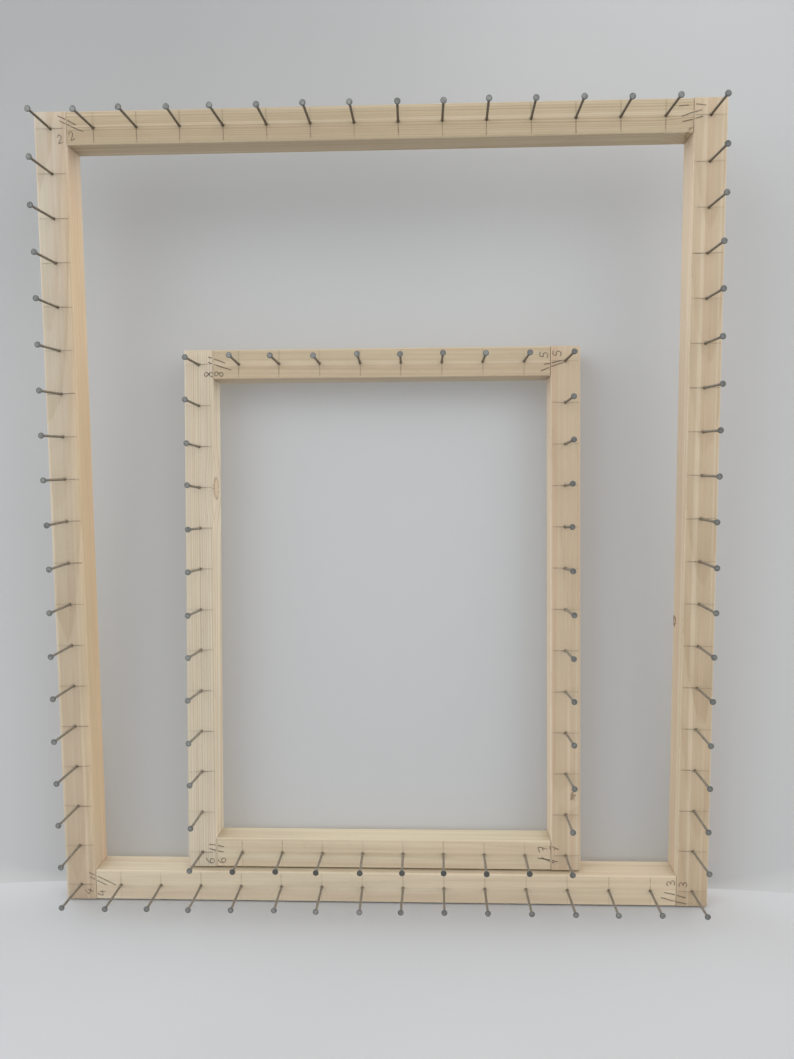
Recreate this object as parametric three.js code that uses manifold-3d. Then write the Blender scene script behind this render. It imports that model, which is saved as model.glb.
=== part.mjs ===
// Pom pom blanket loom: two nailed pine frames, the small one standing inside the large one.
// Millimetres, +Z up, the nails point toward -Y.
// The origin is the middle of the large frame's underside, half way through its thickness.

import * as THREE from "three";
import { mergeVertices } from "three/addons/utils/BufferGeometryUtils.js";
import Module from "manifold-3d";

const wasm = await Module();
wasm.setup();

// Large frame: nails along each side and the square section of its bars
const largeColumns = 16;
const largeRows = 19;
const largePitchAcross = 50;
const largePitchUp = 50.3;
const largeBar = 38;

// Small frame
const smallColumns = 10;
const smallRows = 13;
const smallPitchAcross = 49.8;
const smallPitchUp = 50.3;
const smallBar = 36;

// How the small frame stands in the large one: leaning back, its heel past the rail's back face
const smallLeanDegrees = 4;
const smallHeelOverhang = 5;

// Nails: round wire nails with a flat head, driven part of the way in
const nailLength = 76;
const nailStandOut = 57;
const nailShankRadius = 1.6;
const nailHeadRadius = 3.5;
const nailHeadThickness = 1.3;
const nailHeadEdge = 0.3;
const nailPointLength = 5;
const nailSides = 10;

// Rounded arrises along every bar
const arrisRadius = 2.5;
const arrisSteps = 3;

// Loose tenons, one hidden in each corner joint
const tenonInRail = 24;
const tenonInStile = 14;
const tenonThickness = 10;
const tenonWidth = 22;
const tenonEndSteps = 6;

// Clearances
const buttGap = 0.3;
const restGap = 0.3;
const tenonFit = 0.3;
const nailFit = 0.2;

// Colours
const largeRailPine = 0xb9a67c;
const largeStilePine = 0xc1ad88;
const smallRailPine = 0xc4b18c;
const smallStilePine = 0xc2ac83;
const tenonBeech = 0xc79a6b;
const galvanised = 0x8d9190;

function wood(colour) {
  return new THREE.MeshStandardMaterial({ color: colour, roughness: 0.75, metalness: 0 });
}

function zinc() {
  return new THREE.MeshStandardMaterial({ color: galvanised, roughness: 0.45, metalness: 0.9 });
}

// A closed solid from any closed geometry
function solidOf(geometry) {
  const bare = new THREE.BufferGeometry();
  bare.setAttribute("position", geometry.getAttribute("position").clone());
  if (geometry.index) {
    bare.setIndex(geometry.index.clone());
  }
  const welded = mergeVertices(bare, 1e-4);
  const mesh = new wasm.Mesh({
    numProp: 3,
    vertProperties: new Float32Array(welded.getAttribute("position").array),
    triVerts: new Uint32Array(welded.index.array),
  });
  return new wasm.Manifold(mesh);
}

// A flat-shaded geometry from a solid
function geometryOf(solid) {
  const mesh = solid.getMesh();
  const indexed = new THREE.BufferGeometry();
  indexed.setAttribute("position", new THREE.BufferAttribute(new Float32Array(mesh.vertProperties), 3));
  indexed.setIndex(new THREE.BufferAttribute(new Uint32Array(mesh.triVerts), 1));
  const flat = indexed.toNonIndexed();
  flat.computeVertexNormals();
  return flat;
}

// A square section with rounded corners, centred, for a bar along +Z from z = 0
function barAlongZ(size, length) {
  const inner = size / 2 - arrisRadius;
  const shape = new THREE.Shape();
  for (let corner = 0; corner < 4; corner += 1) {
    const middle = Math.PI / 4 + corner * Math.PI / 2;
    const centreX = inner * Math.sign(Math.cos(middle));
    const centreY = inner * Math.sign(Math.sin(middle));
    for (let step = 0; step <= arrisSteps; step += 1) {
      const angle = corner * Math.PI / 2 + step * Math.PI / 2 / arrisSteps;
      const x = centreX + arrisRadius * Math.cos(angle);
      const y = centreY + arrisRadius * Math.sin(angle);
      if (corner === 0 && step === 0) {
        shape.moveTo(x, y);
      } else {
        shape.lineTo(x, y);
      }
    }
  }
  return new THREE.ExtrudeGeometry(shape, { depth: length, bevelEnabled: false });
}

// A flat tenon with round edges, its length along X and centred on the origin
function tenonSolid(length, thickness, width) {
  const radius = thickness / 2;
  const reach = width / 2 - radius;
  const shape = new THREE.Shape();
  for (let end = 0; end < 2; end += 1) {
    const side = end === 0 ? 1 : -1;
    for (let step = 0; step <= tenonEndSteps; step += 1) {
      const angle = end * Math.PI + step * Math.PI / tenonEndSteps;
      const x = radius * Math.cos(angle);
      const y = side * reach + radius * Math.sin(angle);
      if (end === 0 && step === 0) {
        shape.moveTo(x, y);
      } else {
        shape.lineTo(x, y);
      }
    }
  }
  const geometry = new THREE.ExtrudeGeometry(shape, { depth: length, bevelEnabled: false });
  geometry.translate(0, 0, -length / 2);
  // the section's x goes to the depth of the bar and its y stays upright
  const upright = new THREE.Matrix4().makeBasis(
    new THREE.Vector3(0, 1, 0),
    new THREE.Vector3(0, 0, 1),
    new THREE.Vector3(1, 0, 0),
  );
  geometry.applyMatrix4(upright);
  return geometry;
}

// A nail along -Y, its head outermost, with the bar's front face at frontY
function nailGeometry(x, frontY, z) {
  const headStart = nailLength - nailHeadThickness;
  const profile = [
    new THREE.Vector2(0, 0),
    new THREE.Vector2(nailShankRadius, nailPointLength),
    new THREE.Vector2(nailShankRadius, headStart),
    new THREE.Vector2(nailHeadRadius, headStart),
    new THREE.Vector2(nailHeadRadius, nailLength - nailHeadEdge),
    new THREE.Vector2(nailHeadRadius - nailHeadEdge, nailLength),
    new THREE.Vector2(0, nailLength),
  ];
  const geometry = new THREE.LatheGeometry(profile, nailSides);
  geometry.rotateX(Math.PI);
  geometry.translate(x, frontY + (nailLength - nailStandOut), z);
  return geometry;
}

// The hole that a nail sits in, open at the bar's front face
function nailHole(x, frontY, z) {
  const depth = nailLength - nailStandOut + nailFit;
  const radius = nailShankRadius / Math.cos(Math.PI / nailSides) + nailFit;
  const geometry = new THREE.CylinderGeometry(radius, radius, 2 * depth, nailSides);
  geometry.translate(x, frontY, z);
  return solidOf(geometry);
}

// All pieces of one frame, standing upright with the middle of its underside at the origin
function makeFrame(name, frame) {
  const pieces = [];
  const half = frame.bar / 2;
  const fieldWidth = (frame.columns - 1) * frame.pitchAcross;
  const fieldHeight = (frame.rows - 1) * frame.pitchUp;
  const outerHeight = fieldHeight + frame.bar;
  const railLength = fieldWidth - frame.bar - 2 * buttGap;
  const frontY = -half;

  const sides = [
    { word: "left", x: -fieldWidth / 2 },
    { word: "right", x: fieldWidth / 2 },
  ];
  const levels = [
    { word: "bottom", z: half },
    { word: "top", z: half + fieldHeight },
  ];

  const tenonLength = tenonInRail + tenonInStile + buttGap;
  const pocketLength = tenonLength + 2 * tenonFit;
  const tenons = [];
  for (const side of sides) {
    const inward = -Math.sign(side.x);
    const seamX = side.x + inward * half;
    const tenonX = seamX + inward * (tenonInRail + buttGap - tenonInStile) / 2;
    for (const level of levels) {
      tenons.push({ name: `${name}_${level.word}_${side.word}_tenon`, x: tenonX, z: level.z });
    }
  }

  function cutPockets(solid) {
    let cut = solid;
    for (const tenon of tenons) {
      const pocket = tenonSolid(pocketLength, tenonThickness + 2 * tenonFit, tenonWidth + 2 * tenonFit);
      pocket.translate(tenon.x, 0, tenon.z);
      cut = cut.subtract(solidOf(pocket));
    }
    return cut;
  }

  function addBar(barName, geometry, spots, colour) {
    let solid = cutPockets(solidOf(geometry));
    for (const spot of spots) {
      if (frame.looseNails) {
        solid = solid.subtract(nailHole(spot.x, frontY, spot.z));
      } else {
        solid = solid.add(solidOf(nailGeometry(spot.x, frontY, spot.z)));
      }
    }
    pieces.push({ name: `${name}_${barName}`, geometry: geometryOf(solid), material: wood(colour) });
    if (frame.looseNails) {
      spots.forEach((spot, index) => {
        const number = String(index + 1).padStart(2, "0");
        pieces.push({
          name: `${name}_${barName}_nail_${number}`,
          geometry: nailGeometry(spot.x, frontY, spot.z),
          material: zinc(),
        });
      });
    }
  }

  for (const side of sides) {
    const geometry = barAlongZ(frame.bar, outerHeight);
    geometry.translate(side.x, 0, 0);
    const spots = [];
    for (let row = 0; row < frame.rows; row += 1) {
      spots.push({ x: side.x, z: half + row * frame.pitchUp });
    }
    addBar(`${side.word}_stile`, geometry, spots, frame.stileColour);
  }

  for (const level of levels) {
    const geometry = barAlongZ(frame.bar, railLength);
    geometry.rotateY(Math.PI / 2);
    geometry.translate(-railLength / 2, 0, level.z);
    const spots = [];
    for (let column = 1; column < frame.columns - 1; column += 1) {
      spots.push({ x: column * frame.pitchAcross - fieldWidth / 2, z: level.z });
    }
    addBar(`${level.word}_rail`, geometry, spots, frame.railColour);
  }

  for (const tenon of tenons) {
    const geometry = tenonSolid(tenonLength, tenonThickness, tenonWidth);
    geometry.translate(tenon.x, 0, tenon.z);
    pieces.push({ name: tenon.name, geometry, material: wood(tenonBeech) });
  }
  return pieces;
}

const largePieces = makeFrame("large", {
  columns: largeColumns,
  rows: largeRows,
  pitchAcross: largePitchAcross,
  pitchUp: largePitchUp,
  bar: largeBar,
  looseNails: false,
  stileColour: largeStilePine,
  railColour: largeRailPine,
});

const smallPieces = makeFrame("small", {
  columns: smallColumns,
  rows: smallRows,
  pitchAcross: smallPitchAcross,
  pitchUp: smallPitchUp,
  bar: smallBar,
  looseNails: true,
  stileColour: smallStilePine,
  railColour: smallRailPine,
});

// The small frame turns about its heel, and its underside clears the rail's back arris by restGap
const lean = THREE.MathUtils.degToRad(smallLeanDegrees);
const heelY = largeBar / 2 + smallHeelOverhang;
const arrisY = largeBar / 2 - arrisRadius;
const arrisZ = largeBar - arrisRadius;
const heelRise = (arrisRadius + restGap + (arrisY - heelY) * Math.sin(lean)) / Math.cos(lean);
const heelZ = arrisZ + heelRise;
const standing = new THREE.Matrix4()
  .makeTranslation(0, heelY, heelZ)
  .multiply(new THREE.Matrix4().makeRotationX(-lean))
  .multiply(new THREE.Matrix4().makeTranslation(0, -smallBar / 2, 0));
for (const piece of smallPieces) {
  piece.geometry.applyMatrix4(standing);
}

const loom = new THREE.Group();
loom.name = "pom_pom_blanket_loom";
for (const piece of [...largePieces, ...smallPieces]) {
  const mesh = new THREE.Mesh(piece.geometry, piece.material);
  mesh.name = piece.name;
  loom.add(mesh);
}

export default loom;
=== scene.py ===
import math
import random
from collections import namedtuple
from itertools import groupby

import bmesh
import bpy
from bpy.props import FloatProperty, FloatVectorProperty, IntProperty, PointerProperty
from mathutils import Matrix, Vector, noise


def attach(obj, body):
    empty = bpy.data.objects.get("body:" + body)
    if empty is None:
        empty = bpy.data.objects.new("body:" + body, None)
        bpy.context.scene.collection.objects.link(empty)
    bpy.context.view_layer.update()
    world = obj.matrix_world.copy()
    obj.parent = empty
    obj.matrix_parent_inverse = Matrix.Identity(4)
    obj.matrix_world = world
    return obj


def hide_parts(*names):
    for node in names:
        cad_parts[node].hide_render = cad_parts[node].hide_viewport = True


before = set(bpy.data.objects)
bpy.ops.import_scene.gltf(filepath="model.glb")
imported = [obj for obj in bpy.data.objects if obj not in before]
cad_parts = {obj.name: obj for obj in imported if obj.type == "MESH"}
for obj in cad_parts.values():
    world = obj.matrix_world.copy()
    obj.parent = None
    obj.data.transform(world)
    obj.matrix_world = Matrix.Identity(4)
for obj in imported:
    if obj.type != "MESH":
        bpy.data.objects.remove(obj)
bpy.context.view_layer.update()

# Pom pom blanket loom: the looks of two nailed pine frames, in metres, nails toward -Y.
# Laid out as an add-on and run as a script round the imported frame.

bl_info = {
    "name": "Pom pom blanket loom",
    "version": (1, 0, 0),
    "blender": (4, 5, 0),
    "location": "View3D > Sidebar > Loom",
    "description": "Builds the bars, nails, pencil marks and stage of a two-frame pine loom",
    "category": "Object",
}

# The two frames as the solids have them: the bar's width, the nails' count and pitch each way,
# and the seeds of the nails and the marks
Frame = namedtuple("Frame", "bar columns rows across up nail_seed mark_seed")
FRAMES = {
    "large": Frame(0.038, 16, 19, 0.050, 0.0503, 95, 50),
    "small": Frame(0.036, 10, 13, 0.0498, 0.0503, 65, 44),
}
SIDES = {"left": -1, "right": 1}
LEVELS = {"bottom": 0, "top": 1}

# The small frame leans back about its heel, which stands on the large frame's bottom rail
LEAN = math.radians(4)
HEEL = Vector((0.0, 0.024, 0.0377824))

# The open seam beside each stile, and the nails and tenon slots as the solids have them
BUTT_GAPS = {"left": 0.0001, "right": 0.0003}
NAIL_LENGTH = 0.076
MORTISE_DEPTH = 0.0143
MORTISE_THICKNESS = 0.0106
MORTISE_WIDTH = 0.0226


def tone(red, green, blue):
    """A colour written as 0 to 255 on screen, given as Blender's linear values."""
    def linear(value):
        share = value / 255
        return share / 12.92 if share <= 0.04045 else ((share + 0.055) / 1.055) ** 2.4
    return linear(red), linear(green), linear(blue)


# Sizes and colours that a user would change


def colour_of(name, description, *levels):
    return FloatVectorProperty(
        name=name, description=description, default=tone(*levels), min=0, max=1, size=3, subtype="COLOR")


def length_of(name, description, default):
    return FloatProperty(
        name=name, description=description, default=default, min=0, precision=5, unit="LENGTH",
        subtype="DISTANCE")


def share_of(name, description, default, top=4.0):
    return FloatProperty(
        name=name, description=description, default=default, min=0, max=top, subtype="FACTOR")


class LoomBarSettings(bpy.types.PropertyGroup):
    arris: length_of("Arris radius", "Rounding along the four long edges of a bar", 0.002)
    stile_ease: length_of("Stile ends", "Small bevel round the end of a stile", 0.0007)
    rail_ease: length_of("Rail ends", "Small bevel round the end of a rail", 0.0002)
    waviness: length_of("Waviness", "How far the planed faces dip inward", 0.00012)
    large_rail: colour_of("Large rails", "Pale wood of the large frame's rails", 190, 175, 150)
    large_stile: colour_of("Large stiles", "Pale wood of the large frame's stiles", 194, 177, 153)
    small_rail: colour_of("Small rails", "Pale wood of the small frame's rails", 194, 178, 150)
    small_stile: colour_of("Small stiles", "Pale wood of the small frame's stiles", 197, 183, 157)
    latewood: colour_of("Latewood", "Dark part of a growth ring", 146, 118, 84)
    heartwood: colour_of("Heartwood", "Warm bands in the pine", 188, 157, 132)
    sapwood: colour_of("Sapwood", "Light streaks in the pine", 214, 200, 176)
    blush: colour_of("Blush", "Warm face of the board's inner side", 206, 180, 138)
    knot: colour_of("Knots", "Rim of a knot", 92, 70, 54)


class LoomNailSettings(bpy.types.PropertyGroup):
    stand_out: length_of("Standing length", "Length of nail outside the wood", 0.057)
    shank: length_of("Shank radius", "Radius of the wire", 0.00148)
    head: length_of("Head radius", "Radius of the flat head", 0.0035)
    head_thickness: length_of("Head thickness", "Thickness of the flat head", 0.0013)
    tilt: FloatProperty(
        name="Tilt", description="Most that a nail leans either way", default=math.radians(1.1),
        min=0, unit="ROTATION", subtype="ANGLE")
    sink: length_of("Depth spread", "Most that one nail is driven deeper than another", 0.0008)
    seed: IntProperty(name="Seed", description="Fixes the random tilts", default=7, min=0)
    zinc: colour_of("Zinc", "Galvanised coat of the nails", 158, 159, 156)
    tarnish: colour_of("Tarnish", "Dull patches on the galvanised coat", 114, 114, 110)


class LoomPencilSettings(bpy.types.PropertyGroup):
    line: length_of("Line width", "Width of a cross line", 0.0021)
    stroke: length_of("Stroke width", "Width of a figure's stroke", 0.0021)
    proud: length_of("Proud", "How far the marks stand off the wood", 0.00005)
    graphite: colour_of("Graphite", "Colour of the pencil", 62, 54, 48)
    # width of the dark ring round a nail: partly crushed wood, partly painted shade at its foot
    bruise_and_shade: length_of("Bruise", "Width of the crushed wood round a nail", 0.0016)


class LoomTenonSettings(bpy.types.PropertyGroup):
    beech: colour_of("Beech", "Pale part of the tenons", 208, 176, 140)
    rays: colour_of("Rays", "Dark flecks in the tenons", 150, 104, 70)


class LoomStageSettings(bpy.types.PropertyGroup):
    backdrop: colour_of("Backdrop", "Pale cloth behind the loom", 184, 185, 186)
    floor: colour_of("Floor", "Pale cloth under the loom", 190, 191, 193)
    left_light: colour_of("Left light", "Tint of the even light from the left", 244, 250, 255)
    right_light: colour_of("Right light", "Tint of the even light from the right", 254, 250, 245)
    sky: colour_of("Surroundings", "Pale surroundings seen past the backdrop", 196, 197, 198)
    front_light: share_of("Front light", "Strength of the even light from the room", 1.13)
    back_light: share_of("Back light", "Strength of the even light off the backdrop", 1.3)
    lamps: share_of("Lamps", "Strength of the two soft lamps above", 0.34)
    zenith: share_of("Zenith", "Share of the even light left straight overhead", 0.5, 1.0)
    sides: share_of("Sides", "How much stronger the even light is from the left and right", 1.95)
    window: share_of("Window", "How much stronger the even light is from the left than from the right", 1.2)
    ceiling: share_of("Ceiling", "How light the room overhead looks in metal", 1.7)
    room: share_of("Room", "How light the room in front looks in metal", 0.13, 1.0)


GROUPS = {
    "loom_bars": LoomBarSettings,
    "loom_nails": LoomNailSettings,
    "loom_pencil": LoomPencilSettings,
    "loom_tenons": LoomTenonSettings,
    "loom_stage": LoomStageSettings,
}


# Where things are


def standing(name):
    """Turns a frame's own upright place into the part's frame."""
    if name == "large":
        return Matrix.Identity(4)
    back = Matrix.Translation((0, -FRAMES["small"].bar / 2, 0))
    return Matrix.Translation(HEEL) @ Matrix.Rotation(-LEAN, 4, "X") @ back


# A bar: whether it is upright, its centre line, two ends and middle, which way the frame's inside is,
# its body, and its first nail, the step to the next one and their count
Bar = namedtuple("Bar", "upright centre ends middle inward body first step count")


def bars_of(name):
    """The four bars of a frame by name, in the frame's own upright place."""
    size = FRAMES[name]
    half = size.bar / 2
    wide = (size.columns - 1) * size.across / 2
    high = (size.rows - 1) * size.up
    bars = {}
    for side, sign in SIDES.items():
        bars[f"{name}_{side}_stile"] = Bar(
            True, sign * wide, (0.0, high + 2 * half), half + high / 2, -sign, f"{name}_{side}_side",
            (sign * wide, -half, half), (0, 0, size.up), size.rows)
    ends = tuple(sign * (wide - half - BUTT_GAPS[side]) for side, sign in SIDES.items())
    for level, step in LEVELS.items():
        centre = half + step * high
        bars[f"{name}_{level}_rail"] = Bar(
            False, centre, ends, 0.0, 1 - 2 * step, name + "_rails",
            (size.across - wide, -half, centre), (size.across, 0, 0), size.columns - 2)
    return bars


# Shapes


def loft(shape, loops, capped=False, closed=False, sheet=False):
    """Faces from loop to loop of corners, or line to line of a sheet. A loop of one corner is a tip."""
    pairs = list(zip(loops, loops[1:]))
    if closed:
        pairs.append((loops[-1], loops[0]))
    for first, second in pairs:
        for index in range(max(len(first), len(second)) - sheet):
            after = index + 1
            corners = (
                first[index % len(first)], first[after % len(first)],
                second[after % len(second)], second[index % len(second)])
            shape.faces.new(tuple(dict.fromkeys(corners)))
    if capped:
        shape.faces.new(loops[0])
        shape.faces.new(loops[-1])


def mesh_of(shape, name, smooth=False, closed=True):
    """The shape as a mesh, and the faces of a closed one pointing outwards."""
    if closed:
        bmesh.ops.recalc_face_normals(shape, faces=shape.faces)
    for face in shape.faces:
        face.smooth = smooth
    mesh = bpy.data.meshes.new(name)
    shape.to_mesh(mesh)
    shape.free()
    return mesh


def new_object(name, data):
    made = bpy.data.objects.new(name, data)
    bpy.context.scene.collection.objects.link(made)
    return made


def new_piece(name, mesh, frame_name, material, body, replaced=()):
    """A finished piece of a frame, from a mesh in that frame's own upright place."""
    mesh.transform(standing(frame_name))
    mesh.materials.append(material)
    piece = new_object(name, mesh)
    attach(piece, body)
    if replaced:
        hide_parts(*replaced)


# Shader helpers


class Wire:
    """A node's output. A sum done with it adds a Math node to its tree."""

    def __init__(self, socket):
        self.socket = socket
        self.tree = socket.id_data

    def __add__(self, other):
        return maths("ADD", self, other)

    def __sub__(self, other):
        return maths("SUBTRACT", self, other)

    def __rsub__(self, other):
        return maths("SUBTRACT", other, self)

    def __mul__(self, other):
        return maths("MULTIPLY", self, other)

    def __truediv__(self, other):
        return maths("DIVIDE", self, other)


def fill(node, inputs):
    """Sets a node's inputs by name or number, each to a value or a wire."""
    for key, value in inputs.items():
        if isinstance(value, Wire):
            value.tree.links.new(value.socket, node.inputs[key])
        else:
            node.inputs[key].default_value = value


def put(tree, kind, inputs=None, out=0, **settings):
    """Adds a node. Gives the wire of one output, or with None those of all outputs by name."""
    node = tree.nodes.new(kind)
    for key, value in settings.items():
        setattr(node, key, value)
    fill(node, inputs or {})
    if out is None:
        return {socket.name: Wire(socket) for socket in node.outputs}
    return Wire(node.outputs[out])


def maths(operation, *values, **settings):
    """A Math node on values, at least one of them a wire."""
    tree = next(value.tree for value in values if isinstance(value, Wire))
    return put(tree, "ShaderNodeMath", dict(enumerate(values)), operation=operation, **settings)


def vectors(operation, *values, out="Vector"):
    return put(values[0].tree, "ShaderNodeVectorMath", dict(enumerate(values)), out, operation=operation)


def scaled(place, scale):
    return vectors("MULTIPLY", place, scale)


def parts(place):
    """The x, y and z of a place."""
    return list(put(place.tree, "ShaderNodeSeparateXYZ", {0: place}, None).values())


def object_place(tree):
    return put(tree, "ShaderNodeTexCoord", out="Object")


def attribute(tree, name, out="Vector"):
    return put(tree, "ShaderNodeAttribute", out=out, attribute_name=name)


def cloud(place, scale=1.0, detail=2.0, rough=0.5):
    """Soft noise from 0 to 1 at a place."""
    inputs = {"Vector": place, "Scale": scale, "Detail": detail, "Roughness": rough}
    return put(place.tree, "ShaderNodeTexNoise", inputs)


def ramp(value, low, high, start=0.0, end=1.0):
    """A smooth step of value from low to high, given out from start to end."""
    inputs = {"Value": value, "From Min": low, "From Max": high, "To Min": start, "To Max": end}
    return put(value.tree, "ShaderNodeMapRange", inputs, interpolation_type="SMOOTHSTEP")


def layered(colour, *layers):
    """A colour under layers of (share, colour), each blended over what is under it."""
    for share, layer in layers:
        inputs = {0: share}
        for slot, value in ((6, colour), (7, layer)):
            inputs[slot] = value if isinstance(value, Wire) else (*value, 1.0)
        colour = put(share.tree, "ShaderNodeMix", inputs, 2, data_type="RGBA", clamp_factor=True)
    return colour


def bumped(height, strength, distance):
    inputs = {"Height": height, "Strength": strength, "Distance": distance}
    return put(height.tree, "ShaderNodeBump", inputs)


def shader_group(name, inputs):
    """Turns a function from wires to named results into one that gives its node group, built once.

    An input is its starting number or vector, or the kind of one that is always linked.
    """
    def decorate(build):
        def group():
            if name in bpy.data.node_groups:
                return bpy.data.node_groups[name]
            tree = bpy.data.node_groups.new(name, "ShaderNodeTree")
            for title, start in inputs.items():
                kind = {str: start, tuple: "Vector", float: "Float"}[type(start)]
                socket = tree.interface.new_socket(
                    name=title, in_out="INPUT", socket_type=f"NodeSocket{kind}")
                if kind != start:
                    socket.default_value = start
            results = build(put(tree, "NodeGroupInput", out=None))
            for title, wire in results.items():
                kind = {"VALUE": "Float", "RGBA": "Color"}[wire.socket.type]
                tree.interface.new_socket(name=title, in_out="OUTPUT", socket_type=f"NodeSocket{kind}")
            put(tree, "NodeGroupOutput", results, None)
            return tree
        return group
    return decorate


def placed(group, inputs):
    """The outputs of a node group in the tree that its Place comes from."""
    return put(inputs["Place"].tree, "ShaderNodeGroup", inputs, None, node_tree=group())


def new_material(name):
    material = bpy.data.materials.new(name)
    material.use_nodes = True
    tree = material.node_tree
    tree.nodes.clear()
    shader = tree.nodes.new("ShaderNodeBsdfPrincipled")
    put(tree, "ShaderNodeOutputMaterial", {0: Wire(shader.outputs[0])}, None)
    return material, tree, shader


# Pine


@shader_group("growth_rings", {
    "Place": "Vector", "Pith": (0.0, 0.05, 0.03), "Drift": (0.0, 0.0, 0.0), "Ring Width": 0.003,
    "Waver": 0.001, "Bend": 0.0, "Seed": 0.0})
def growth_rings(given):
    """Growth rings round a pith line beside the bar, with fibres, warm bands and short resin flecks."""
    place, seed = given["Place"], given["Seed"]
    shift = put(place.tree, "ShaderNodeCombineXYZ", {0: seed * 3.1, 1: seed * 7.3, 2: seed * 5.7})

    def streaks(scale, detail=2.0, rough=0.5):
        """Noise drawn out along the bar."""
        return cloud(vectors("ADD", scaled(place, scale), shift), 1.0, detail, rough)

    slow = streaks((2.6, 14, 14), 1) - 0.5
    quick = streaks((15, 90, 90)) - 0.5
    waver = (quick * 0.22 + slow) * given["Waver"]
    drift = scaled(given["Drift"], parts(place)[0])
    away = scaled(vectors("ADD", vectors("SUBTRACT", place, given["Pith"]), drift), (0, 1, 1))
    count = (vectors("LENGTH", away, out="Value") + waver + given["Bend"]) / given["Ring Width"]
    uneven = cloud(put(place.tree, "ShaderNodeCombineXYZ", {0: count * 0.31, 1: seed}), detail=1)
    count = count + uneven * 2.2
    share = maths("FRACT", count)
    strength = put(
        place.tree, "ShaderNodeTexWhiteNoise", {"W": maths("FLOOR", count) + seed}, noise_dimensions="1D")
    rings = ramp(share, 0.35, 0.9) * ramp(share, 0.93, 1.0, 1.0, 0.0) * (strength * 0.65 + 0.35)
    rings = rings * ramp(streaks((3.5, 120, 120)), 0.2, 0.75, 0.45, 1.0)
    fibre = streaks((22, 1500, 1500), 3, 0.65)
    return {
        "Rings": rings,
        "Bands": ramp(streaks((0.8, 95, 60)), 0.36, 0.66),
        "Light": ramp(streaks((0.6, 150, 90), 1), 0.55, 0.72),
        "Fibre": streaks((9, 420, 420)) * 0.5 + fibre * 0.5,
        "Flecks": ramp(streaks((95, 2300, 2300), 1), 0.66, 0.76),
        "Height": rings * 0.55 + fibre * 0.45}


@shader_group("knot", {
    "Place": "Vector", "Centre": "Vector", "Size": (0.008, 0.004, 0.004), "Rim Start": 0.72})
def knot_in_grain(given):
    """A knot at a place in the bar: its mask, its own small rings, and how it bends the grain round it."""
    place = given["Place"]
    away = vectors("DIVIDE", vectors("SUBTRACT", place, given["Centre"]), given["Size"])
    reach = vectors("LENGTH", away, out="Value")
    worn = (cloud(place, 420.0) - 0.5) * 0.7 + reach
    rise = maths("DIVIDE", worn - given["Rim Start"], 0.14, use_clamp=True)
    broken = ramp(cloud(place, 170.0), 0.42, 0.56, 0.3, 1.0)
    return {
        "Mask": ramp(worn, 0.8, 1.05, 1.0, 0.0),
        "Rim": rise * ramp(worn, 0.98, 1.12, 1.0, 0.0) * broken,
        "Rings": maths("SINE", worn * 17.0) * 0.5 + 0.5,
        "Bend": maths("EXPONENT", reach * reach * -0.16) * 0.006}


@shader_group("handling", {
    "Place": "Vector", "Colour": "Color", "Arris": 0.0, "End Grain": 0.0, "Smudges": 0.1})
def handling(given):
    """Darker smudges left by hands, arrises a little lighter (partly rubbed wear, partly painted highlight
    along the rounded edges), and darker end grain.
    """
    wide = cloud(scaled(given["Place"], (6, 22, 22)), detail=3)
    fine = cloud(scaled(given["Place"], (260, 420, 420)), detail=3)
    smudge = ramp(wide, 0.48, 0.75) * ramp(fine, 0.25, 0.7, 0.4, 1.0)
    colour = layered(
        given["Colour"],
        (smudge * given["Smudges"], tone(128, 116, 98)),
        # painted highlight: arrises lighter, partly rubbed wear and partly standing in for the light their
        # rounding catches
        (given["Arris"] * ramp(fine, 0.2, 0.8, 0.1, 0.3), tone(222, 208, 184)),
        (given["End Grain"] * 0.34, tone(150, 122, 88)))
    return {"Colour": colour, "Gloss": given["Arris"] * 0.5 + wide * 0.5}


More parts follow.
